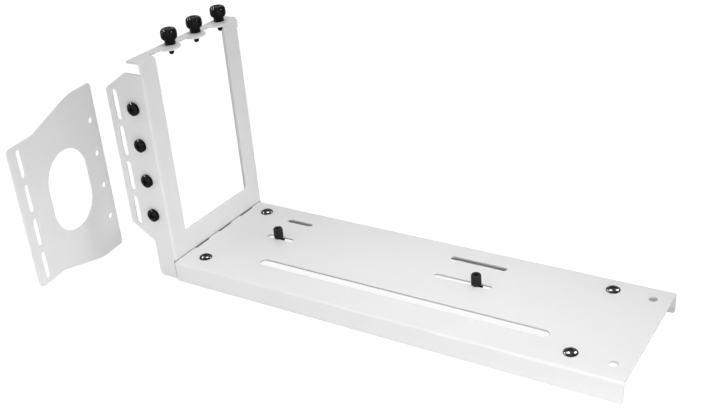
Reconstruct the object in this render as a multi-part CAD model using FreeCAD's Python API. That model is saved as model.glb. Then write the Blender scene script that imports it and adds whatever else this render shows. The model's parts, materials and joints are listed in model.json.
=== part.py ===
import FreeCAD, Part
import math
import os

Vec = FreeCAD.Vector

# Support bracket: an upright frame screwed to a long low tray, with a loose extension
# plate beside it. The pieces are drawn where they sit: x = 0 is the right face of the
# frame, y = 0 its front, z = 0 the floor. At the end everything is shifted so that the
# footprint is centred on the origin. All sizes are in millimetres.

# Sheet steel
sheet = 1.0
bend_outer = 1.35
head_bend_outer = 2.0
relief = 0.8

# Standard distance between two expansion slots
slot_pitch = 20.32

# Base tray
tray_length = 248.5
tray_width = 77.1
tray_height = 11.5
tray_front_step = 1.5
seam_gap = 0.5
flange_corner = 1.6
row_spacing = 57.0
left_screw_x = 12.9
right_screw_x = 220.6
end_hole_x = 240.1
end_hole_radius = 2.2
long_slot_start = 43.4
long_slot_end = 207.0
long_slot_y = 19.2
long_slot_width = 5.6
riser_slot_width = 3.2
riser_front_row = 44.5
riser_rear_row = 63.6
near_slot_start = 30.2
near_slot_end = 47.0
far_slot_start = 134.6
far_slot_end = 166.4

# Upright frame
frame_height = 124.2
frame_width = 79.0
window_sill = 24.7
window_corner = 1.2
front_post = 11.7
rear_post = 11.7
top_flange_depth = 9.7
top_strip = 5.1
top_corner = 1.2
flange_top_gap = 6.4

# Ears on the top flange, one for each expansion slot
ear_count = 3
ear_width = 12.0
ear_reach = 1.4
ear_corner = 4.5
ear_root = 1.0
ear_fillet = 1.45
ear_offset = 3.0
top_screw_x = -5.6
first_top_screw_y = 29.8

# Slotted wing on the front and slotted flange on the rear of the frame
wing_reach = 27.0
wing_top_chamfer_x = 14.9
wing_top_chamfer_z = 9.8
wing_bottom = 30.2
wing_bottom_chamfer_z = 8.8
stem_reach = 12.8
stem_corner = 3.0
wing_slot_x = -21.5
wing_slot_width = 3.4
wing_slot_length = 17.0
wing_slot_lift = 0.5
wing_screw_x = -9.4
rear_reach = 11.4
rear_slot_x = -8.6
rear_slot_width = 3.0
rear_slot_length = 6.5
rear_slot_lift = 2.1
row_count = 4
lowest_row_z = 38.0

# Tab under the tray and the tongue slots beside the frame
tab_reach = 20.5
tab_inset = 4.6
tab_bend_inner = 0.35
tongue_slot_reach = 1.5
tongue_slot_width = 11.6
tongue_offset = 7.6

# Extension plate, which stands by itself to the left of the frame
plate_width = 70.5
plate_height = 100.0
plate_low_height = 80.0
plate_low_run = 20.0
plate_high_run = 18.5
plate_corner = 3.0
plate_high_corner = 1.6
plate_hollow_radius = 12.0
plate_crown_radius = 45.0
plate_slot_inset = 7.4
plate_slot_width = 3.1
plate_slot_length = 15.8
plate_slot_pitch = 19.7
plate_hole_inset = 5.2
plate_hole_pitch = 19.8
plate_hole_radius = 1.7
plate_window_inset = 38.7
plate_window_width = 32.4
plate_window_height = 46.6
plate_turn = 7.55
plate_place_x = -57.0
plate_place_y = -51.2

# Threads: screws, the tapped holes they turn in and the plain holes they pass
thread_radius = 1.45
tap_clearance = 0.05
pass_clearance = 0.2
recess_width = 0.9

# Shares of the thread's radius: how narrow and how long a screw's tip is
tip_narrow = 0.7
tip_length = 0.4

# Outlines of the domed heads, as shares of the head's radius and of the dome's height
low_dome = [(1.0, 0.3), (0.9, 0.68), (0.62, 0.93), (0.0, 1.0)]
thumb_dome = [(1.0, 0.0), (0.93, 0.5), (0.78, 0.85), (0.5, 1.0), (0.0, 1.0)]

# A slot's end arcs stop just short of a half circle, so no edge has zero length
end_round = 0.999

# Thumbscrews on the ears
thumb_radius = 4.3
thumb_height = 6.0
thumb_collar_radius = 2.85
thumb_collar_height = 2.4
thumb_tail = 5.5
thumb_flutes = 12
thumb_flute_radius = 0.55
thumb_crown = 1.6
thumb_recess_length = 4.4
thumb_recess_depth = 1.3

# Low screws of the wing and of the tray
wing_head_radius = 3.5
wing_head_height = 2.6
wing_screw_length = 6.0
tray_head_radius = 3.5
tray_head_height = 1.4
tray_screw_length = 6.0
head_recess_length = 3.6
head_recess_depth = 0.9

# Hexagon nuts under the tray screws
nut_width = 5.5
nut_height = 2.4

# Riser standoffs, each held by a washer and a screw from below
standoff_radius = 2.6
standoff_height = 6.0
standoff_bore_radius = 1.25
standoff_top_depth = 2.8
standoff_bottom_depth = 2.0
standoff_near_x = 37.4
standoff_far_x = 158.3
washer_radius = 3.3
washer_height = 0.5
riser_screw_radius = 1.4
riser_head_radius = 2.3
riser_head_height = 1.5
riser_screw_play = 0.3


# Points, outlines and simple solids

def on_floor(z):
    """Places an outline drawn as x, y at the height z."""
    return lambda a, b: Vec(a, b, z)


def on_front(y):
    """Places an outline drawn as x, z in the plane at y."""
    return lambda a, b: Vec(a, y, b)


def rounded_face(corners, place):
    """A flat face from corners given as (a, b, radius), each rounded by its own arc."""
    edges = []
    starts = []
    ends = []
    middles = []
    count = len(corners)
    for i in range(count):
        here = Vec(corners[i][0], corners[i][1], 0)
        radius = corners[i][2]
        back = Vec(corners[i - 1][0], corners[i - 1][1], 0) - here
        ahead = Vec(corners[(i + 1) % count][0], corners[(i + 1) % count][1], 0) - here
        back.normalize()
        ahead.normalize()
        half = math.acos(max(-1.0, min(1.0, back.dot(ahead)))) / 2.0
        inward = back + ahead
        if radius > 0 and inward.Length > 1e-6:
            inward.normalize()
            run = radius / math.tan(half)
            starts.append(here + back * run)
            ends.append(here + ahead * run)
            middles.append(here + inward * (radius / math.sin(half) - radius))
        else:
            starts.append(here)
            ends.append(here)
            middles.append(None)
    for i in range(count):
        if middles[i] is not None:
            arc = [place(p.x, p.y) for p in (starts[i], middles[i], ends[i])]
            edges.append(Part.Arc(*arc).toShape())
        follow = starts[(i + 1) % count]
        if (follow - ends[i]).Length > 1e-6:
            run_from = place(ends[i].x, ends[i].y)
            run_to = place(follow.x, follow.y)
            edges.append(Part.LineSegment(run_from, run_to).toShape())
    return Part.Face(Part.Wire(edges))


def block(x0, x1, y0, y1, z0, z1):
    """A box between two corners."""
    return Part.makeBox(x1 - x0, y1 - y0, z1 - z0, Vec(x0, y0, z0))


def rod(radius, length, base, direction):
    """A cylinder from its base point along a direction."""
    return Part.makeCylinder(radius, length, base, direction)


def slot_face(a, b, size_a, size_b, place):
    """An oblong with round ends, centred at a, b and long along its larger size."""
    half_a = size_a / 2.0
    half_b = size_b / 2.0
    arc = min(half_a, half_b) * end_round
    corners = [(a - half_a, b - half_b, arc), (a + half_a, b - half_b, arc),
               (a + half_a, b + half_b, arc), (a - half_a, b + half_b, arc)]
    return rounded_face(corners, place)


def turned(profile, base, direction):
    """A solid of revolution from (radius, height) points, stood on base along direction."""
    corners = [Vec(r, 0, z) for r, z in profile]
    corners.append(corners[0])
    solid = Part.Face(Part.makePolygon(corners)).revolve(Vec(0, 0, 0), Vec(0, 0, 1), 360)
    solid.Placement = FreeCAD.Placement(base, FreeCAD.Rotation(Vec(0, 0, 1), direction))
    return solid


def joined(shapes):
    """One solid from shapes that meet or overlap, with merged flat faces."""
    whole = shapes[0].multiFuse(shapes[1:])
    return whole.removeSplitter()


# Rows that several pieces share

middle_y = tray_width / 2.0
screw_rows = [middle_y - row_spacing / 2.0, middle_y + row_spacing / 2.0]
top_screw_ys = [first_top_screw_y + slot_pitch * i for i in range(ear_count)]
flange_rows = [lowest_row_z + slot_pitch * i for i in range(row_count)]
rear_slot_rows = [z + rear_slot_lift for z in flange_rows]
tab_top = tray_height - sheet
tap_radius = thread_radius + tap_clearance
pass_radius = thread_radius + pass_clearance
post_end_y = frame_width - rear_post
flange_top = frame_height - flange_top_gap
flange_start = -bend_outer


# Upright frame: one folded sheet with a window, a top flange, two side flanges and a tab

def frame_channel():
    """The frame's web with the two upright bends, up to the top of the side flanges."""
    bend_inner = bend_outer - sheet
    corners = [(flange_start, 0, 0), (0, 0, bend_outer), (0, frame_width, bend_outer),
               (flange_start, frame_width, 0), (flange_start, frame_width - sheet, 0),
               (-sheet, frame_width - sheet, bend_inner), (-sheet, sheet, bend_inner),
               (flange_start, sheet, 0)]
    return rounded_face(corners, on_floor(0)).extrude(Vec(0, 0, flange_top))


def frame_head():
    """The flat upper end of the web, bent back into the top flange.

    A relief cut parts its side edges from the upright bends below."""
    bend_inner = head_bend_outer - sheet
    start = -head_bend_outer
    low = flange_top + relief
    corners = [(0, low, 0), (0, frame_height, head_bend_outer), (start, frame_height, 0),
               (start, frame_height - sheet, 0),
               (-sheet, frame_height - sheet, bend_inner), (-sheet, low, 0)]
    web = rounded_face(corners, on_front(0)).extrude(Vec(0, frame_width, 0))
    neck = block(-sheet, 0, bend_outer, frame_width - bend_outer, flange_top, low)
    strip = [(start, 0, 0), (start, frame_width, 0),
             (-top_flange_depth, frame_width, top_corner), (-top_flange_depth, 0, top_corner)]
    flange = rounded_face(strip, on_floor(frame_height - sheet)).extrude(Vec(0, 0, sheet))
    return joined([web, neck, flange])


def frame_ear(y):
    """A rounded ear of the top flange, for the screw at y."""
    inner = -(top_flange_depth - top_strip)
    root = inner - ear_root
    centre = y - ear_offset
    low = centre - ear_width / 2.0
    high = centre + ear_width / 2.0
    spread = ear_fillet * 1.02
    corners = [(root, low - spread, 0), (inner, low - spread, 0), (inner, low, ear_fillet),
               (ear_reach, low, ear_corner), (ear_reach, high, ear_corner),
               (inner, high, ear_fillet), (inner, high + spread, 0), (root, high + spread, 0)]
    return rounded_face(corners, on_floor(frame_height - sheet)).extrude(Vec(0, 0, sheet))


def frame_wing():
    """The front flange: a narrow stem with a wide slotted wing above it."""
    top = flange_top
    corners = [(flange_start, 0, 0), (flange_start, top, 0),
               (wing_top_chamfer_x - wing_reach, top, 0),
               (-wing_reach, top - wing_top_chamfer_z, 0),
               (-wing_reach, wing_bottom, top_corner),
               (-stem_reach, wing_bottom - wing_bottom_chamfer_z, 0),
               (-stem_reach, 0, stem_corner)]
    plate = rounded_face(corners, on_front(0)).extrude(Vec(0, sheet, 0))
    for z in flange_rows:
        slot = slot_face(wing_slot_x, z + wing_slot_lift, wing_slot_width, wing_slot_length,
                         on_front(-sheet))
        plate = plate.cut(slot.extrude(Vec(0, 3 * sheet, 0)))
        plate = plate.cut(rod(tap_radius, 3 * sheet, Vec(wing_screw_x, -sheet, z), Vec(0, 1, 0)))
    return plate


def frame_rear_flange():
    """The rear flange, with short slots a little above the rows of the wing."""
    corners = [(flange_start, 0, 0), (flange_start, flange_top, 0),
               (-rear_reach, flange_top, top_corner), (-rear_reach, 0, stem_corner)]
    inner_y = frame_width - sheet
    plate = rounded_face(corners, on_front(inner_y)).extrude(Vec(0, sheet, 0))
    for z in rear_slot_rows:
        slot = slot_face(rear_slot_x, z, rear_slot_width, rear_slot_length,
                         on_front(inner_y - sheet))
        plate = plate.cut(slot.extrude(Vec(0, 3 * sheet, 0)))
    return plate


def frame_tab():
    """The tab that is bent under the tray and takes the left pair of tray screws."""
    low = tab_top - sheet
    high = window_sill - window_corner
    corners = [(-sheet, high, 0), (-sheet, low, tab_bend_inner + sheet), (tab_reach, low, 0),
               (tab_reach, tab_top, 0), (0, tab_top, tab_bend_inner), (0, high, 0)]
    length = tray_width - 2 * tab_inset
    tab = rounded_face(corners, on_front(tab_inset)).extrude(Vec(0, length, 0))
    ends = [(-2 * sheet, tab_inset, 0), (tab_reach, tab_inset, stem_corner),
            (tab_reach, tray_width - tab_inset, stem_corner),
            (-2 * sheet, tray_width - tab_inset, 0)]
    tab = tab.common(rounded_face(ends, on_floor(0)).extrude(Vec(0, 0, window_sill)))
    for y in screw_rows:
        tab = tab.cut(rod(pass_radius, 4 * sheet, Vec(left_screw_x, y, low - sheet), Vec(0, 0, 1)))
    return tab


def tongue_slot(y):
    """A gap between the tray's left edge and the frame, below the screw at y."""
    centre = y - tongue_offset
    half = tongue_slot_width / 2.0
    return block(0, tongue_slot_reach, centre - half, centre + half,
                 tab_top - 2 * sheet, tray_height + sheet)


def make_frame():
    web = frame_channel()
    gap = block(-bend_outer, sheet, tab_inset - relief, tray_width - tab_inset + relief,
                -sheet, tab_top + relief)
    web = web.cut(gap)
    frame = joined([web, frame_head(), frame_wing(), frame_rear_flange(), frame_tab()])
    window = [(front_post, window_sill, window_corner), (post_end_y, window_sill, window_corner),
              (post_end_y, frame_height + sheet, 0), (front_post, frame_height + sheet, 0)]
    opening = rounded_face(window, lambda a, b: Vec(top_strip - top_flange_depth, a, b))
    frame = frame.cut(opening.extrude(Vec(top_flange_depth, 0, 0)))
    frame = joined([frame] + [frame_ear(y) for y in top_screw_ys])
    for y in top_screw_ys:
        hole = rod(tap_radius, 3 * sheet, Vec(top_screw_x, y, frame_height - 2 * sheet),
                   Vec(0, 0, 1))
        frame = frame.cut(hole)
        frame = frame.cut(tongue_slot(y))
    return frame


# Base tray: one sheet with both long edges folded down to the floor

def make_tray():
    bend_inner = bend_outer - sheet
    front = -tray_front_step
    section = [(front, 0, 0), (front, tray_height, bend_outer),
               (tray_width, tray_height, bend_outer),
               (tray_width, 0, 0), (tray_width - sheet, 0, 0),
               (tray_width - sheet, tray_height - sheet, bend_inner),
               (front + sheet, tray_height - sheet, bend_inner), (front + sheet, 0, 0)]
    length = tray_length - seam_gap
    tray = rounded_face(section, lambda a, b: Vec(seam_gap, a, b)).extrude(Vec(length, 0, 0))
    side = [(seam_gap, 0, 0), (tray_length, 0, flange_corner),
            (tray_length, tray_height + sheet, 0), (seam_gap, tray_height + sheet, 0)]
    width = tray_width - front
    tray = tray.common(rounded_face(side, on_front(front)).extrude(Vec(0, width, 0)))
    under = tray_height - 2 * sheet
    cut_depth = Vec(0, 0, 3 * sheet)

    def lengthwise(x0, x1, y, width):
        """A slot along x between two end points, cut through the top."""
        middle_x = (x0 + x1) / 2.0
        return slot_face(middle_x, y, x1 - x0, width, on_floor(under)).extrude(cut_depth)

    cuts = [lengthwise(long_slot_start, long_slot_end, long_slot_y, long_slot_width)]
    for y in (riser_front_row, riser_rear_row):
        cuts.append(lengthwise(near_slot_start, near_slot_end, y, riser_slot_width))
        cuts.append(lengthwise(far_slot_start, far_slot_end, y, riser_slot_width))
    for y in screw_rows:
        for x in (left_screw_x, right_screw_x):
            cuts.append(rod(pass_radius, 3 * sheet, Vec(x, y, under), Vec(0, 0, 1)))
        cuts.append(rod(end_hole_radius, 3 * sheet, Vec(end_hole_x, y, under), Vec(0, 0, 1)))
    cuts += [tongue_slot(y) for y in top_screw_ys]
    for cut in cuts:
        tray = tray.cut(cut)
    return tray


# Extension plate: a flat sheet that widens in an S curve above and below

def make_extension_plate():
    middle = plate_height / 2.0
    low_half = plate_low_height / 2.0
    rise_end = plate_width - plate_high_run
    corners = [(0, middle - low_half, plate_corner),
               (plate_low_run, middle - low_half, plate_hollow_radius),
               (rise_end, 0, plate_crown_radius), (plate_width, 0, plate_high_corner),
               (plate_width, plate_height, plate_high_corner),
               (rise_end, plate_height, plate_crown_radius),
               (plate_low_run, middle + low_half, plate_hollow_radius),
               (0, middle + low_half, plate_corner)]

    def upright(a, b):
        return Vec(0, a, b)

    through = Vec(-3 * sheet, 0, 0)
    plate = rounded_face(corners, upright).extrude(Vec(-sheet, 0, 0))
    window = slot_face(plate_window_inset, middle, plate_window_width, plate_window_height,
                       lambda a, b: Vec(sheet, a, b))
    plate = plate.cut(window.extrude(through))
    for i in range(row_count):
        step = i - (row_count - 1) / 2.0
        slot = slot_face(plate_slot_inset, middle + step * plate_slot_pitch,
                         plate_slot_width, plate_slot_length, lambda a, b: Vec(sheet, a, b))
        plate = plate.cut(slot.extrude(through))
        hole = Vec(sheet, plate_width - plate_hole_inset, middle + step * plate_hole_pitch)
        plate = plate.cut(rod(plate_hole_radius, 3 * sheet, hole, Vec(-1, 0, 0)))
    plate.translate(Vec(0, plate_place_y, 0))
    plate.rotate(Vec(0, 0, 0), Vec(0, 0, 1), plate_turn)
    plate.translate(Vec(plate_place_x, 0, 0))
    return plate


# Screws and small hardware

def cross_recess(length, depth, top):
    """A cross that is sunk from the height top, drawn along z."""
    half = length / 2.0
    side = recess_width / 2.0
    arms = [block(-half, half, -side, side, top - depth, top + depth),
            block(-side, side, -half, half, top - depth, top + depth)]
    return arms[0].fuse(arms[1])


def threaded_stem(length, grip):
    """The outline of a screw's stem as (radius, height) points, from its tip up to height 0."""
    return [(0, -length), (grip * tip_narrow, -length), (grip, grip * tip_length - length),
            (grip, 0)]


def low_screw(head_radius, head_height, length, base, outward, grip):
    """A low domed cross-head screw: base is under its head, outward points out of the head.

    grip is the radius of its thread."""
    profile = threaded_stem(length, grip) + [(head_radius, 0)]
    profile += [(head_radius * wide, head_height * high) for wide, high in low_dome]
    screw = turned(profile, Vec(0, 0, 0), Vec(0, 0, 1))
    reach = min(head_recess_length, head_radius * 1.3)
    screw = screw.cut(cross_recess(reach, head_recess_depth, head_height))
    screw.Placement = FreeCAD.Placement(base, FreeCAD.Rotation(Vec(0, 0, 1), outward))
    return screw


def make_thumbscrew(y):
    """A fluted thumbscrew whose collar sits on the ear at y."""
    crown = thumb_collar_height + thumb_height
    rim = thumb_radius
    profile = threaded_stem(thumb_tail, thread_radius)
    profile += [(thumb_collar_radius, 0), (thumb_collar_radius, thumb_collar_height),
                (rim - thumb_flute_radius, thumb_collar_height),
                (rim, thumb_collar_height + thumb_flute_radius)]
    profile += [(rim * wide, crown - thumb_crown * (1 - high)) for wide, high in thumb_dome]
    screw = turned(profile, Vec(0, 0, 0), Vec(0, 0, 1))
    for i in range(thumb_flutes):
        angle = 2 * math.pi * (i + 0.5) / thumb_flutes
        foot = Vec(rim * math.cos(angle), rim * math.sin(angle), thumb_collar_height)
        screw = screw.cut(rod(thumb_flute_radius, thumb_height, foot, Vec(0, 0, 1)))
    screw = screw.cut(cross_recess(thumb_recess_length, thumb_recess_depth, crown))
    screw.translate(Vec(top_screw_x, y, frame_height))
    return screw


def make_nut(x, y, top):
    """A hexagon nut that hangs under the height top around a tray screw."""
    across_corners = nut_width / math.cos(math.pi / 6)
    ring = [Vec(across_corners / 2 * math.cos(math.pi / 3 * i),
                across_corners / 2 * math.sin(math.pi / 3 * i), 0) for i in range(7)]
    nut = Part.Face(Part.makePolygon(ring)).extrude(Vec(0, 0, nut_height))
    nut = nut.cut(rod(tap_radius, nut_height, Vec(0, 0, 0), Vec(0, 0, 1)))
    nut.translate(Vec(x, y, top - nut_height))
    return nut


def make_standoff(x):
    """A round riser standoff, tapped from both ends, on the tray's front slot row."""
    base = Vec(x, riser_front_row, tray_height)
    body = rod(standoff_radius, standoff_height, base, Vec(0, 0, 1))
    top = base + Vec(0, 0, standoff_height - standoff_top_depth)
    body = body.cut(rod(standoff_bore_radius, standoff_top_depth, top, Vec(0, 0, 1)))
    lower_radius = riser_screw_radius + tap_clearance
    return body.cut(rod(lower_radius, standoff_bottom_depth, base, Vec(0, 0, 1)))


def make_washer(x):
    """The washer under the tray that spreads the riser screw's clamp."""
    base = Vec(x, riser_front_row, tray_height - sheet - washer_height)
    ring = rod(washer_radius, washer_height, base, Vec(0, 0, 1))
    hole = riser_screw_radius + pass_clearance
    return ring.cut(rod(hole, washer_height, base, Vec(0, 0, 1)))


def make_riser_screw(x):
    """The screw that comes up through the washer and slot into the standoff."""
    seat = tray_height - sheet - washer_height
    length = washer_height + sheet + standoff_bottom_depth - riser_screw_play
    return low_screw(riser_head_radius, riser_head_height, length,
                     Vec(x, riser_front_row, seat), Vec(0, 0, -1), riser_screw_radius)


parts = {"frame_bracket": make_frame(),
         "base_tray": make_tray(),
         "extension_plate": make_extension_plate()}

for name, y in zip(("front", "middle", "rear"), top_screw_ys):
    parts["thumbscrew_" + name] = make_thumbscrew(y)

for number, z in enumerate(reversed(flange_rows), start=1):
    parts["wing_screw_%d" % number] = low_screw(
        wing_head_radius, wing_head_height, wing_screw_length,
        Vec(wing_screw_x, 0, z), Vec(0, -1, 0), thread_radius)

for side, x, under in (("left", left_screw_x, tab_top - sheet),
                       ("right", right_screw_x, tray_height - sheet)):
    for end, y in zip(("front", "rear"), screw_rows):
        parts["tray_screw_%s_%s" % (side, end)] = low_screw(
            tray_head_radius, tray_head_height, tray_screw_length,
            Vec(x, y, tray_height), Vec(0, 0, 1), thread_radius)
        parts["tray_nut_%s_%s" % (side, end)] = make_nut(x, y, under)

for side, x in (("near", standoff_near_x), ("far", standoff_far_x)):
    parts["riser_standoff_" + side] = make_standoff(x)
    parts["riser_washer_" + side] = make_washer(x)
    parts["riser_screw_" + side] = make_riser_screw(x)

# The footprint's centre on the floor becomes the origin
footprint = Part.makeCompound(list(parts.values())).BoundBox
shift = Vec(-footprint.Center.x, -footprint.Center.y, -footprint.ZMin)

os.makedirs("parts", exist_ok=True)
for name, shape in parts.items():
    shape.translate(shift)
    solids = shape.Solids
    print(name, len(solids), shape.isValid(), round(shape.Volume, 1))
    if len(solids) == 1:
        shape = solids[0]
    shape.exportStep("parts/%s.step" % name)
print("shift", round(shift.x, 4), round(shift.y, 4), round(shift.z, 4))
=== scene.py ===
import json
import math

import bmesh
import bpy
from mathutils import Matrix, Vector

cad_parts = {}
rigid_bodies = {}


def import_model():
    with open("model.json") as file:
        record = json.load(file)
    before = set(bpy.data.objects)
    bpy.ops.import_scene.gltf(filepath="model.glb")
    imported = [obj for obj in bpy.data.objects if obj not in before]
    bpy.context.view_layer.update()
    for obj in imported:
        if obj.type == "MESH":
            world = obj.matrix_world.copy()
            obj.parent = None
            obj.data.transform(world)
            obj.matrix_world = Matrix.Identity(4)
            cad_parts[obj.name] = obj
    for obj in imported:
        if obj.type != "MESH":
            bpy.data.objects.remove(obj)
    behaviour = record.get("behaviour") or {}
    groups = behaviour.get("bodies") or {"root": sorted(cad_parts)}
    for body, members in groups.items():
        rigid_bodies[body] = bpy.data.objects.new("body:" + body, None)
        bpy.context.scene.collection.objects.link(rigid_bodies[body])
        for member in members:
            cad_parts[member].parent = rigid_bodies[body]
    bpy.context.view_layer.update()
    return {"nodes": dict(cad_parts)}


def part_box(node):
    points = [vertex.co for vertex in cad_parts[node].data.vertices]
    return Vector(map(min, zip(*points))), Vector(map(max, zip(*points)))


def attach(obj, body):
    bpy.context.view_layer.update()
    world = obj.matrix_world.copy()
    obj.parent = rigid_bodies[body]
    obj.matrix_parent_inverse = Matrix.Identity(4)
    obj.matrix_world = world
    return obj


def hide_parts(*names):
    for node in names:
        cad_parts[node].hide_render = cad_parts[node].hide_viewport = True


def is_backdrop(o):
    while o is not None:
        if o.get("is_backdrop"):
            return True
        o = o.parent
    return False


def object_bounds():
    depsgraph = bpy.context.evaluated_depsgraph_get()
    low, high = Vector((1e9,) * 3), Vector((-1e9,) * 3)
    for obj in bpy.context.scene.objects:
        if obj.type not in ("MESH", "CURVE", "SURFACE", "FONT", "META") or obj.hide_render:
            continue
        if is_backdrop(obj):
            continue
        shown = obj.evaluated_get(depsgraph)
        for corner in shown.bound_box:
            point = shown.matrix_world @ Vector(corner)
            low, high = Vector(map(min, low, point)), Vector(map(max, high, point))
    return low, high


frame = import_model()


# Upright frame
# One blank of 1 mm steel sheet, punched and folded into a channel with ears on its top
# flange. It is powder coated white after folding, so the coat rounds off the cut edges.

mm = 0.001
weld = 0.001 * mm
same_plane = math.radians(0.5)
sharp_angle = math.radians(32)
flat_narrowest = 0.5 * mm
flat_smallest = 2 * mm * mm
coat_radius = 0.11 * mm
coat_narrowest = 0.12 * mm
coat_low = (0.805, 0.806, 0.808, 1)
coat_high = (0.862, 0.862, 0.862, 1)
coat_cloud = 24 * mm
coat_peel = 0.9 * mm
coat_peel_depth = 0.02 * mm
coat_roughness = 0.36
speck_colour = (0.70, 0.70, 0.695, 1)
speck_spacing = 7 * mm
speck_core = 0.022
speck_rim = 0.03
speck_strength = 0.5
# Painted shade: the dark seam colour and the bounds after it paint the faces inside the narrow
# gap between the frame's foot and the tray's end, as that gap's shadow.
seam_painted_shade = (0.30, 0.30, 0.30, 1)
seam_top = 11.42 * mm
seam_front = -12.7 * mm
web_back = -94.5 * mm
bend_back = -95.25 * mm
tray_end = -93.55 * mm


class Wire:
    """A socket of a material's node tree that Python's arithmetic works on."""

    def __init__(self, tree, socket=None):
        self.tree = tree
        self.socket = socket

    def node(self, kind, settings, sockets, output=0):
        """A new node: its settings come first, then the values or links of its sockets."""
        made = self.tree.nodes.new(kind)
        for name, value in settings.items():
            if name == "stops":
                ramp = made.color_ramp
                while len(ramp.elements) < len(value):
                    ramp.elements.new(0.5)
                for element, (position, shade) in zip(ramp.elements, value):
                    element.position = position
                    element.color = (shade, shade, shade, 1)
            else:
                setattr(made, name, value)
        for key, value in sockets.items():
            if isinstance(value, Wire):
                self.tree.links.new(value.socket, made.inputs[key])
            else:
                made.inputs[key].default_value = value
        return Wire(self.tree, made.outputs[output] if made.outputs else None)

    def other(self, output):
        """Another output of the node that this wire comes from."""
        return Wire(self.tree, self.socket.node.outputs[output])

    def maths(self, operation, first, second):
        return self.node("ShaderNodeMath", {"operation": operation}, {0: first, 1: second})

    def mixed(self, low, high):
        """The colour between low and high that this value, from 0 to 1, asks for."""
        return self.node("ShaderNodeMix", {"data_type": "RGBA"}, {0: self, 6: low, 7: high}, 2)

    def __add__(self, other):
        return self.maths("ADD", self, other)

    def __radd__(self, other):
        return self.maths("ADD", other, self)

    def __gt__(self, other):
        return self.maths("GREATER_THAN", self, other)

    def __lt__(self, other):
        return self.maths("LESS_THAN", self, other)

    def __sub__(self, other):
        return self.maths("SUBTRACT", self, other)

    def __rsub__(self, other):
        return self.maths("SUBTRACT", other, self)

    def __mul__(self, other):
        return self.maths("MULTIPLY", self, other)

    def __rmul__(self, other):
        return self.maths("MULTIPLY", other, self)


def new_material(name):
    """An empty material and a wire to build its nodes with."""
    material = bpy.data.materials.new(name)
    material.use_nodes = True
    material.node_tree.nodes.clear()
    return material, Wire(material.node_tree)


def powder_coat(name):
    """White satin powder coat: orange peel, faint clouds, dull specks, painted edge highlight,
    painted seam shade.
    """
    material, wire = new_material(name)
    place = wire.node("ShaderNodeTexCoord", {}, {}, "Object")
    cloud = wire.node("ShaderNodeTexNoise", {},
                      {"Vector": place, "Scale": 1 / coat_cloud, "Detail": 3.0})
    peel = wire.node("ShaderNodeTexNoise", {},
                     {"Vector": place, "Scale": 1 / coat_peel, "Detail": 2.0})
    grain = wire.node("ShaderNodeTexNoise", {},
                      {"Vector": place, "Scale": 6 / coat_peel, "Detail": 1.0})
    dots = wire.node("ShaderNodeTexVoronoi", {"feature": "F1"},
                     {"Vector": place, "Scale": 1 / speck_spacing, "Randomness": 1.0}, "Distance")
    stops = [(0.0, 1), (speck_core, 1), (speck_rim, 0), (1.0, 0)]
    speck = wire.node("ShaderNodeValToRGB", {"stops": stops}, {"Fac": dots})
    edge = wire.node("ShaderNodeAttribute", {"attribute_name": "coat_edge"}, {}, "Fac")
    # The rounded cut edges are painted a little lighter, a painted highlight, and are made a
    # little glossier.
    tone = cloud * 0.7 + peel * 0.3 + edge * 0.25
    along = wire.node("ShaderNodeSeparateXYZ", {}, {"Vector": place}, "X")
    # Painted shade: inside the gap between the frame's web and the tray's end, below the tray's
    # top, the coat takes the dark seam colour as the gap's shadow.
    seam_shade = (along > web_back) + (along > bend_back) * (along.other("Y") < seam_front)
    seam_shade = seam_shade * (along < tray_end) * (along.other("Z") < seam_top)
    clean = (speck * speck_strength).mixed(tone.mixed(coat_low, coat_high), speck_colour)
    colour = (seam_shade > 0.5).mixed(clean, seam_painted_shade)
    roughness = coat_roughness + cloud * 0.10 + grain * 0.06 - edge * 0.05
    bump = wire.node("ShaderNodeBump", {}, {"Strength": 0.5, "Distance": coat_peel_depth,
                                            "Height": peel + grain * 0.2})
    shader = wire.node("ShaderNodeBsdfPrincipled", {},
                       {"Base Color": colour, "Roughness": roughness, "Normal": bump})
    wire.node("ShaderNodeOutputMaterial", {}, {"Surface": shader})
    return material


def shown(shape, name, material, body, slot, *nodes):
    """Turns a bmesh into a piece that rides on a body and stands for CAD nodes."""
    mesh = bpy.data.meshes.new(name)
    shape.to_mesh(mesh)
    shape.free()
    mesh.polygons.foreach_set("use_smooth", [True] * len(mesh.polygons))
    mesh.set_sharp_from_angle(angle=sharp_angle)
    mesh.materials.append(material)
    piece = bpy.data.objects.new(name, mesh)
    bpy.context.scene.collection.objects.link(piece)
    weighted = piece.modifiers.new("even_shading", "WEIGHTED_NORMAL")
    weighted.keep_sharp = True
    weighted.weight = 90
    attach(piece, body)
    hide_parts(*nodes)
    return piece


def wider_than(face, width):
    """Whether a face is at least this wide across its longest edge."""
    return face.calc_area() > width * max(edge.calc_length() for edge in face.edges)


def number_flats(shape, flat):
    """Numbers each flat of the sheet in the face layer flat, and returns their normals."""
    normals = []
    for start in shape.faces:
        if start[flat] or start.calc_area() < flat_smallest:
            continue
        if not wider_than(start, flat_narrowest):
            continue
        normals.append(start.normal.copy())
        start[flat] = len(normals)
        row = [start]
        while row:
            for edge in row.pop().edges:
                for face in edge.link_faces:
                    if not face[flat] and edge.calc_face_angle() < same_plane:
                        face[flat] = len(normals)
                        row.append(face)
    return normals


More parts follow.
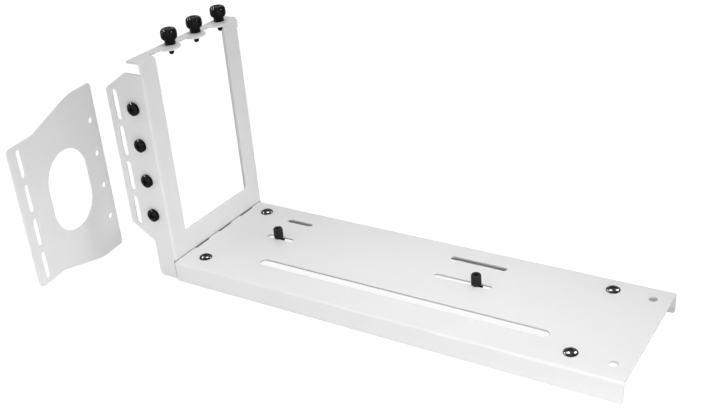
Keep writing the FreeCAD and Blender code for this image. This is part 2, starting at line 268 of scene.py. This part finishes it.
def coated_sheet(node):
    """A folded sheet's shape with its cut edges rounded by the coat."""
    shape = bmesh.new()
    shape.from_mesh(frame["nodes"][node].data)
    bmesh.ops.remove_doubles(shape, verts=shape.verts, dist=weld)
    bmesh.ops.dissolve_limit(shape, angle_limit=same_plane, verts=shape.verts, edges=shape.edges)
    rounded = shape.faces.layers.float.new("coat_edge")
    flat = shape.faces.layers.int.new("flat")
    normals = number_flats(shape, flat)
    cut = [e for e in shape.edges if e.calc_face_angle() > sharp_angle
           and all(wider_than(face, coat_narrowest) for face in e.link_faces)]
    made = bmesh.ops.bevel(shape, geom=cut, offset=coat_radius, offset_type="OFFSET", segments=2,
                           profile=0.5, affect="EDGES", material=-1, clamp_overlap=False)
    # The rounded faces are marked in coat_edge, where the coat paints a small highlight.
    for face in made["faces"]:
        face[rounded] = 1.0
        face[flat] = 0
    for number, normal in enumerate(normals, 1):
        faces = [f for f in shape.faces if f[flat] == number]
        edges = {e for f in faces for e in f.edges}
        rim = [e for e in edges if sum(f[flat] == number for f in e.link_faces) == 1]
        bmesh.ops.delete(shape, geom=faces, context="FACES_KEEP_BOUNDARY")
        bmesh.ops.triangle_fill(shape, edges=rim, use_beauty=True, normal=normal)
    return shape


coat = powder_coat("white_powder_coat")
shown(coated_sheet("frame_bracket"), "folded_frame", coat, "bracket", "white_coat",
      "frame_bracket")


# Base tray
# The long low tray that everything stands on: the same coated sheet, with both long edges
# folded down and with slots and screw holes punched through its top.

shown(coated_sheet("base_tray"), "folded_tray", coat, "bracket", "white_coat", "base_tray")


# Extension plate
# A flat punched sheet of the same steel and coat that screws onto the wing for taller
# cases. It stands loose beside the frame.

shown(coated_sheet("extension_plate"), "loose_plate", coat, "bracket", "white_coat",
      "extension_plate")


# Thumbscrews
# Turned steel screws with a fluted knob on a round collar, blackened and polished, with a
# cross recess in the crown. Each is screwed down through an ear of the frame's top flange.

black_deep = (0.001, 0.001, 0.001, 1)
black_pale = (0.004, 0.004, 0.0042, 1)
black_roughness = 0.06
black_gloss = 0.06
grain_size = 0.12 * mm
smudge_size = 1.6 * mm
turning_depth = 0.008 * mm
shell_weld = 0.002 * mm
turn_steps = 72
thread_pitch = 0.6
thread_steps = 24
thread_depth = 0.55 * thread_pitch * 0.6
thread_root = 0.15
thread_flat = 0.04
stem_inset = 0.2
recess_width = 0.95
recess_lean = 0.72
thumb_tail = 5.5
thumb_tip = 0.55
thumb_stem = 1.45
thumb_thread_top = 0.4
thumb_collar = 2.85
thumb_collar_top = 2.4
thumb_knob = 4.3
thumb_top = 8.4
thumb_crown = 2.5
thumb_flute_steps = 6
thumb_flute_depths = {0: 0.44, 1: 0.3, 5: 0.3}
thumb_flute_inner = 3.2
thumb_flute_rise = 0.8
thumb_recess = 4.4
thumb_recess_depth = 1.4


def black_finish(name, deep, pale):
    """Blackened steel: deep glossy black, with turning rings and a little rubbed dust."""
    material, wire = new_material(name)
    place = wire.node("ShaderNodeTexCoord", {}, {}, "Object")
    turned = wire.node("ShaderNodeAttribute", {"attribute_name": "turned"}, {}, "Fac")
    rings = wire.node("ShaderNodeTexNoise", {"noise_dimensions": "1D"},
                      {"W": turned, "Scale": 9.0, "Detail": 2.0})
    smudge = wire.node("ShaderNodeTexNoise", {},
                       {"Vector": place, "Scale": 1 / smudge_size, "Detail": 3.0})
    grain = wire.node("ShaderNodeTexNoise", {},
                      {"Vector": place, "Scale": 1 / grain_size, "Detail": 1.0})
    colour = (smudge * 0.6 + grain * 0.4).mixed(deep, pale)
    roughness = black_roughness + smudge * 0.08 + rings * 0.06
    bump = wire.node("ShaderNodeBump", {}, {"Strength": 0.35, "Distance": turning_depth,
                                            "Height": rings + grain * 0.35})
    shader = wire.node("ShaderNodeBsdfPrincipled", {},
                       {"Base Color": colour, "Roughness": roughness, "Normal": bump,
                        "Specular IOR Level": black_gloss})
    wire.node("ShaderNodeOutputMaterial", {}, {"Surface": shader})
    return material


def turned_shell(outline, steps):
    """A round shape from its outline, (radius, height) points in millimetres."""
    shape = bmesh.new()
    points = [shape.verts.new((r * mm, 0, z * mm)) for r, z in outline]
    edges = [shape.edges.new(pair) for pair in zip(points, points[1:])]
    bmesh.ops.spin(shape, geom=points + edges, cent=(0, 0, 0), axis=(0, 0, 1),
                   dvec=(0, 0, 0), angle=2 * math.pi, steps=steps, use_merge=True)
    bmesh.ops.remove_doubles(shape, verts=shape.verts, dist=shell_weld)
    return shape


def ring_at(shape, radius, height):
    """The edges of the open ring with this radius and height, in millimetres."""
    near = 0.01 * mm
    return [e for e in shape.edges if e.is_boundary and all(
        abs(v.co.z - height * mm) < near
        and abs(math.hypot(v.co.x, v.co.y) - radius * mm) < near for v in e.verts)]


def sink_cross(shape, rim, height_at, reach, depth, skew):
    """Closes the ring rim with a crown that has a cross recess with leaning walls.

    height_at gives the crown's height at a radius, and skew turns the cross."""
    side = recess_width / 2
    half = reach / 2
    quarter = [(half, -side), (half, side), (side * 1.15, side * 1.15)]
    points = []
    for turn in range(4):
        spun = Matrix.Rotation(turn * math.pi / 2 + skew, 3, "Z")
        points += [shape.verts.new(spun @ Vector((a, b, height_at(math.hypot(a, b)))) * mm)
                   for a, b in quarter]
    mouth = [shape.edges.new(pair) for pair in zip(points, points[1:] + points[:1])]
    bmesh.ops.triangle_fill(shape, edges=rim + mouth, use_beauty=True, normal=(0, 0, 1))
    sunk = bmesh.ops.extrude_edge_only(shape, edges=mouth)["geom"]
    low = [g for g in sunk if isinstance(g, bmesh.types.BMVert)]
    floor_edges = [g for g in sunk if isinstance(g, bmesh.types.BMEdge) and g.is_boundary]
    bmesh.ops.translate(shape, verts=low, vec=(0, 0, -depth * mm))
    bmesh.ops.scale(shape, verts=low, vec=(recess_lean, recess_lean, 1))
    bmesh.ops.edgeloop_fill(shape, edges=floor_edges)


def cut_thread(shape, radius, low, high):
    """Winds a thread onto a stem between two heights, as one closed ridge."""
    turns = int((high - low) / thread_pitch) - 1
    valley = radius - thread_depth
    section = [(valley - thread_root, 0), (valley, thread_flat),
               (radius, thread_pitch * 0.45), (radius, thread_pitch * 0.55),
               (valley, thread_pitch - thread_flat), (valley - thread_root, thread_pitch)]
    points = [shape.verts.new((r * mm, 0, (low + z) * mm)) for r, z in section]
    ridge = shape.faces.new(points)
    bmesh.ops.spin(shape, geom=points + list(ridge.edges) + [ridge], cent=(0, 0, 0),
                   axis=(0, 0, 1), dvec=(0, 0, thread_pitch * mm / thread_steps),
                   angle=2 * math.pi * turns, steps=thread_steps * turns,
                   use_duplicate=False)


def put_in_place(shape, spot, outward):
    """Notes the turning rings, then stands a turned shape on its spot."""
    turned = shape.verts.layers.float.new("turned")
    for vert in shape.verts:
        vert[turned] = (math.hypot(vert.co.x, vert.co.y) + vert.co.z) / mm
    bmesh.ops.recalc_face_normals(shape, faces=shape.faces)
    stand = Matrix.Translation(spot) @ outward.to_track_quat("Z", "Y").to_matrix().to_4x4()
    bmesh.ops.transform(shape, matrix=stand, verts=shape.verts)
    return shape


def thumbscrew():
    """A fluted knob on its collar and threaded tail, with its collar's foot at height 0."""
    core = thumb_stem - stem_inset
    shape = turned_shell(
        [(0, -thumb_tail), (core - thumb_tip, -thumb_tail), (core, thumb_tip - thumb_tail),
         (core, 0), (thumb_collar - 0.2, 0), (thumb_collar, 0.2),
         (thumb_collar, thumb_collar_top - 0.1), (thumb_collar + 0.1, thumb_collar_top),
         (3.35, thumb_collar_top + 0.08), (3.75, thumb_collar_top + 0.34),
         (4.08, thumb_collar_top + 0.85), (4.25, thumb_collar_top + 1.5),
         (thumb_knob, thumb_collar_top + 2.3), (thumb_knob, thumb_collar_top + 3.6),
         (4.22, thumb_top - 1.55), (4.02, thumb_top - 0.95), (3.7, thumb_top - 0.5),
         (3.3, thumb_top - 0.2), (2.85, thumb_top - 0.05), (thumb_crown, thumb_top)],
        turn_steps)
    for vert in shape.verts:
        reach = math.hypot(vert.co.x, vert.co.y) / mm
        if reach < thumb_flute_inner or vert.co.z < thumb_collar_top * mm:
            continue
        step = round(math.atan2(vert.co.y, vert.co.x) / (2 * math.pi) * turn_steps)
        hollow = thumb_flute_depths.get(step % thumb_flute_steps, 0)
        share = min(1, (reach - thumb_flute_inner) / thumb_flute_rise)
        inward = 1 - hollow * share / reach
        bmesh.ops.scale(shape, verts=[vert], vec=(inward, inward, 1))
    sink_cross(shape, ring_at(shape, thumb_crown, thumb_top), lambda radius: thumb_top,
               thumb_recess, thumb_recess_depth, 0)
    cut_thread(shape, thumb_stem, thumb_tip - thumb_tail, thumb_thread_top)
    return shape


black = black_finish("black_steel_finish", black_deep, black_pale)
for which in ("front", "middle", "rear"):
    low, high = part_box("thumbscrew_" + which)
    spot = Vector(((low.x + high.x) / 2, (low.y + high.y) / 2, low.z + thumb_tail * mm))
    shown(put_in_place(thumbscrew(), spot, Vector((0, 0, 1))), "thumb_knob_" + which, black,
          "thumb_" + which, "black_steel", "thumbscrew_" + which)


# Wing screws
# Four cheese-headed steel screws down the wing, blackened like the thumbscrews. Their
# threads bite in the tapped sheet and their tails stick out behind it.

wing_head = 3.5
wing_height = 2.6
wing_dome = 1.1
wing_length = 6.0
screw_tip = 0.5
screw_thread_top = 0.2
head_foot = 0.12
head_recess = 3.7
recess_rim = 0.22
crown_steps = 7


def headed_screw(head, height, length, stem, dome, skew=0):
    """A cross-headed screw along z, with its head above height 0; dome is its crown's rise."""
    core = stem - stem_inset
    inner = min(head_recess * 0.5 + recess_rim, head * 0.8)

    def height_at(radius):
        """The height of the domed crown at a radius."""
        return height - dome + dome * math.sqrt(max(0, 1 - (radius / head) ** 2))

    outline = [(0, -length), (core - screw_tip, -length), (core, screw_tip - length), (core, 0),
               (head - head_foot, 0), (head, head_foot)]
    for step in range(crown_steps + 1):
        bend = math.pi / 2 + (math.asin(inner / head) - math.pi / 2) * step / crown_steps
        radius = head * math.sin(bend)
        outline.append((radius, height_at(radius)))
    shape = turned_shell(outline, turn_steps)
    sink_cross(shape, ring_at(shape, inner, height_at(inner)), height_at,
               min(head_recess, head * 1.4), height * 0.5, skew)
    cut_thread(shape, stem, screw_tip - length, screw_thread_top)
    return shape


for number in range(1, 5):
    low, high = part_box("wing_screw_%d" % number)
    spot = Vector(((low.x + high.x) / 2, high.y - wing_length * mm, (low.z + high.z) / 2))
    shape = headed_screw(wing_head, wing_height, wing_length, thumb_stem, wing_dome)
    shown(put_in_place(shape, spot, Vector((0, -1, 0))), "wing_cross_screw_%d" % number, black,
          "bracket", "black_steel", "wing_screw_%d" % number)


# Tray screws
# Four low domed screws, two through the frame's tab and two at the tray's free end. They
# are the same blackened steel, and each is held by a nut under the sheet.

tray_head = 3.5
tray_height = 1.4
tray_dome = 1.2
tray_length = 6.0
tray_turns = {"left_front": 43, "left_rear": 43, "right_front": 22, "right_rear": 25}

for corner, turn in tray_turns.items():
    low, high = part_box("tray_screw_" + corner)
    spot = Vector(((low.x + high.x) / 2, (low.y + high.y) / 2, low.z + tray_length * mm))
    shape = headed_screw(tray_head, tray_height, tray_length, thumb_stem, tray_dome,
                         math.radians(turn))
    shown(put_in_place(shape, spot, Vector((0, 0, 1))), "tray_cross_screw_" + corner, black,
          "bracket", "black_steel", "tray_screw_" + corner)


# Tray nuts
# Pressed hexagon nuts of the same blackened steel, with chamfered corners. Each is run up
# its tray screw against the underside of the sheet.

nut_half = 2.75
nut_face = nut_half * 0.96
nut_height = 2.4
nut_bore = 1.5
nut_countersink = 0.25
nut_chamfer = 0.3
nut_cone = math.radians(30)
nut_steps = 48
rim_slack = 0.02


def hexagon_nut():
    """A nut from height 0 down, its corners cut back by the usual cone."""
    low = nut_chamfer - nut_height
    mouth = nut_bore + nut_countersink
    shape = turned_shell(
        [(nut_bore, -nut_chamfer), (mouth, 0), (nut_face, 0), (nut_half, -nut_chamfer),
         (nut_half, low), (nut_face, -nut_height), (mouth, -nut_height), (nut_bore, low),
         (nut_bore, -nut_chamfer)], nut_steps)
    for vert in shape.verts:
        reach = math.hypot(vert.co.x, vert.co.y) / mm
        if reach < nut_half - rim_slack:
            continue
        sector = math.pi / 3
        bearing = math.atan2(vert.co.y, vert.co.x) % sector
        hexagon = nut_half / math.cos(bearing - sector / 2)
        cone = (hexagon - nut_face) * math.tan(nut_cone) * mm
        upper = vert.co.z > -nut_height / 2 * mm
        vert.co.z = -cone if upper else cone - nut_height * mm
        bmesh.ops.scale(shape, verts=[vert], vec=(hexagon / reach, hexagon / reach, 1))
    return shape


for corner in tray_turns:
    low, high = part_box("tray_nut_" + corner)
    spot = Vector(((low.x + high.x) / 2, (low.y + high.y) / 2, high.z))
    shown(put_in_place(hexagon_nut(), spot, Vector((0, 0, 1))), "hexagon_nut_" + corner, black,
          "bracket", "black_steel", "tray_nut_" + corner)


# Risers
# Two knurled standoffs of rubbed blackened steel, tapped at both ends, that slide along the
# front slots. A thin washer and a small screw clamp each from below.

rubbed_deep = (0.004, 0.004, 0.004, 1)
rubbed_pale = (0.050, 0.050, 0.051, 1)
riser_radius = 2.6
riser_height = 6.0
riser_bore = 1.25
riser_top_depth = 2.8
riser_low_bore = 1.45
riser_low_depth = 2.0
knurl_steps = 96
knurl_depth = 0.09
washer_outer = 3.3
washer_bore = 1.6
washer_height = 0.5
washer_rim = 0.1
riser_head = 2.3
riser_head_height = 1.5
riser_dome = 0.9
riser_stem = 1.4
slide_gap = 0.02


def knurled_riser():
    """A standoff with its foot at height 0, tapped at both ends and knurled between."""
    band = riser_radius - 0.1
    top_floor = riser_height - riser_top_depth
    shape = turned_shell(
        [(0, riser_low_depth), (riser_low_bore, riser_low_depth), (riser_low_bore, 0.2),
         (riser_low_bore + 0.2, slide_gap), (riser_radius - 0.25, slide_gap), (band, 0.25),
         (band, 0.45), (riser_radius, 0.6), (riser_radius, riser_height - 0.8),
         (band, riser_height - 0.65), (band, riser_height - 0.3),
         (riser_radius - 0.35, riser_height), (riser_bore + 0.3, riser_height),
         (riser_bore, riser_height - 0.3), (riser_bore, top_floor), (0, top_floor)],
        knurl_steps)
    for vert in shape.verts:
        reach = math.hypot(vert.co.x, vert.co.y) / mm
        step = round(math.atan2(vert.co.y, vert.co.x) / (2 * math.pi) * knurl_steps)
        if reach > riser_radius - rim_slack and step % 2:
            inward = 1 - knurl_depth / reach
            bmesh.ops.scale(shape, verts=[vert], vec=(inward, inward, 1))
    return shape


def thin_washer():
    """A washer from height 0 up, that leaves the slide's gap under the tray."""
    upper = washer_height - slide_gap
    return turned_shell(
        [(washer_bore, washer_rim), (washer_bore + washer_rim, 0),
         (washer_outer - washer_rim, 0), (washer_outer, washer_rim),
         (washer_outer, upper - washer_rim), (washer_outer - washer_rim, upper),
         (washer_bore + washer_rim, upper), (washer_bore, upper - washer_rim),
         (washer_bore, washer_rim)], turn_steps)


rubbed = black_finish("rubbed_steel_finish", rubbed_deep, rubbed_pale)
for which in ("near", "far"):
    body = "riser_" + which
    low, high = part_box("riser_standoff_" + which)
    axis_x = (low.x + high.x) / 2
    axis_y = (low.y + high.y) / 2
    shown(put_in_place(knurled_riser(), Vector((axis_x, axis_y, low.z)), Vector((0, 0, 1))),
          "knurled_standoff_" + which, rubbed, body, "black_steel", "riser_standoff_" + which)
    low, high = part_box("riser_washer_" + which)
    shown(put_in_place(thin_washer(), Vector((axis_x, axis_y, low.z)), Vector((0, 0, 1))),
          "thin_washer_" + which, black, body, "black_steel", "riser_washer_" + which)
    low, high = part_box("riser_screw_" + which)
    seat = low.z + riser_head_height * mm
    screw = headed_screw(riser_head, riser_head_height, (high.z - seat) / mm, riser_stem,
                         riser_dome)
    shown(put_in_place(screw, Vector((axis_x, axis_y, seat)), Vector((0, 0, -1))),
          "clamp_screw_" + which, black, body, "black_steel", "riser_screw_" + which)


# Floor and surroundings
# A plain white studio floor under an even white sky. What the camera and the gloss see of
# them is lifted to white, while the floor keeps the soft shadow under the tray.

floor_half = 4.0
floor_white = (0.9, 0.9, 0.9, 1)
floor_seen = (0.3, 0.3, 0.3, 1)
floor_lift = 0.92
sky_level = 0.44

floor_material, wire = new_material("studio_floor")
paths = wire.node("ShaderNodeLightPath", {}, {}, "Is Camera Ray")
seen = paths + paths.other("Is Glossy Ray") + paths.other("Is Transmission Ray")
plain = wire.node("ShaderNodeBsdfDiffuse", {}, {"Color": seen.mixed(floor_white, floor_seen)})
lift = wire.node("ShaderNodeEmission", {}, {"Color": (1, 1, 1, 1), "Strength": seen * floor_lift})
both = wire.node("ShaderNodeAddShader", {}, {0: plain, 1: lift})
wire.node("ShaderNodeOutputMaterial", {}, {"Surface": both})

ground = bmesh.new()
bmesh.ops.create_grid(ground, x_segments=1, y_segments=1, size=floor_half)
ground_mesh = bpy.data.meshes.new("studio_floor")
ground.to_mesh(ground_mesh)
ground.free()
ground_mesh.materials.append(floor_material)
studio_floor = bpy.data.objects.new("studio_floor", ground_mesh)
bpy.context.scene.collection.objects.link(studio_floor)
studio_floor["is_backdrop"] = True

sky = bpy.data.worlds.new("studio_sky")
sky.use_nodes = True
sky.node_tree.nodes.clear()
wire = Wire(sky.node_tree)
paths = wire.node("ShaderNodeLightPath", {}, {}, "Is Camera Ray")
seen = paths + paths.other("Is Glossy Ray") + paths.other("Is Transmission Ray")
light = wire.node("ShaderNodeBackground", {},
                  {"Color": (1, 1, 1, 1), "Strength": sky_level + seen * (1 - sky_level)})
wire.node("ShaderNodeOutputWorld", {}, {"Surface": light})
bpy.context.scene.world = sky


# Lamps
# Soft boxes close to the set, low in front or hung over the tray and the floor, whose bounce
# lights the upright sheets from their feet up. Harder ones only put glints on black steel.

def soft_box(name, spot, aim, size, spread, power):
    """A square lamp at spot, turned to aim, that the camera doesn't see."""
    lamp = bpy.data.lights.new(name, "AREA")
    lamp.shape = "SQUARE"
    lamp.size = size
    lamp.spread = math.radians(spread)
    lamp.energy = power
    box = bpy.data.objects.new(name, lamp)
    box.location = spot
    box.rotation_euler = (Vector(aim) - Vector(spot)).to_track_quat("-Z", "Y").to_euler()
    box.visible_camera = False
    bpy.context.scene.collection.objects.link(box)
    return box


for name, spot, aim, size, spread, power in (
        ("low_right_box", (0.30, -0.25, 0.10), (0.05, 0.0, 0.0), 0.15, 180, 0.305),
        ("low_front_box", (0.06, -0.28, 0.05), (0.0, 0.0, 0.01), 0.10, 180, 0.066),
        ("high_rear_box", (0.15, 0.10, 0.50), (0.12, 0.0, 0.0), 0.30, 180, 0.085),
        ("over_frame_foot", (-0.01, 0.02, 0.45), (-0.01, 0.02, 0.0), 0.15, 50, 0.050),
        ("over_free_end", (0.16, -0.04, 0.60), (0.16, -0.04, 0.0), 0.15, 38, 0.072),
        ("over_front_floor", (-0.10, -0.17, 0.30), (-0.10, -0.17, 0.0), 0.15, 60, 0.115),
        ("toward_frame_foot", (0.34, 0.06, 0.13), (-0.094, 0.03, 0.005), 0.08, 24, 0.0062),
        ("toward_plate", (0.08, -0.40, 0.08), (-0.155, -0.05, 0.04), 0.08, 26, 0.0034)):
    soft_box(name, spot, aim, size, spread, power)

glossy_pieces = bpy.data.collections.new("glossy_pieces")
domed_heads = bpy.data.collections.new("domed_heads")
for piece in bpy.data.objects:
    if piece.type == "MESH" and black.name in piece.data.materials:
        glossy_pieces.objects.link(piece)
    if piece.name.startswith("tray_cross_screw"):
        domed_heads.objects.link(piece)
for name, spot, aim, size, power, lit in (
        ("glint_left", (-0.675, 0.176, 0.66), (0, 0, 0), 0.24, 66.0, domed_heads),
        ("glint_middle", (-0.20, 0.35, 0.80), (0, 0, 0), 0.24, 66.0, domed_heads),
        ("glint_right", (0.288, 0.629, 0.631), (0, 0, 0), 0.24, 66.0, domed_heads),
        ("glint_front_left", (-0.55, -0.28, 0.59), (-0.10, 0, 0.12), 0.12, 30.0, glossy_pieces),
        ("glint_front", (0.10, -0.55, 0.25), (-0.10, 0, 0.08), 0.06, 4.0, glossy_pieces)):
    glint = soft_box(name, spot, aim, size, 180, power)
    glint.light_linking.receiver_collection = lit


# Camera
# A normal lens from the front right, above the tray, at the catalogue picture's angle. It is
# shifted a little, as that picture is framed.

camera_lens = 51.975
camera_shift = (-0.0073, 0.0076)
camera_nearest = 0.01
camera_spot = (0.256463, -0.359938, 0.282216)
camera_right = Vector((0.85212335, 0.51764214, -0.07702215))
camera_up = Vector((-0.18053, 0.42888, 0.88514)).normalized()

camera_data = bpy.data.cameras.new("catalogue_camera")
camera_data.sensor_width = 36
camera_data.lens = camera_lens
camera_data.shift_x, camera_data.shift_y = camera_shift
camera_data.clip_start = camera_nearest
camera = bpy.data.objects.new("catalogue_camera", camera_data)
camera_axes = Matrix((camera_right, camera_up, camera_right.cross(camera_up))).transposed()
camera.matrix_world = Matrix.Translation(camera_spot) @ camera_axes.to_4x4()
bpy.context.scene.collection.objects.link(camera)
bpy.context.scene.camera = camera
bpy.context.scene.view_settings.view_transform = "Standard"

low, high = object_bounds()
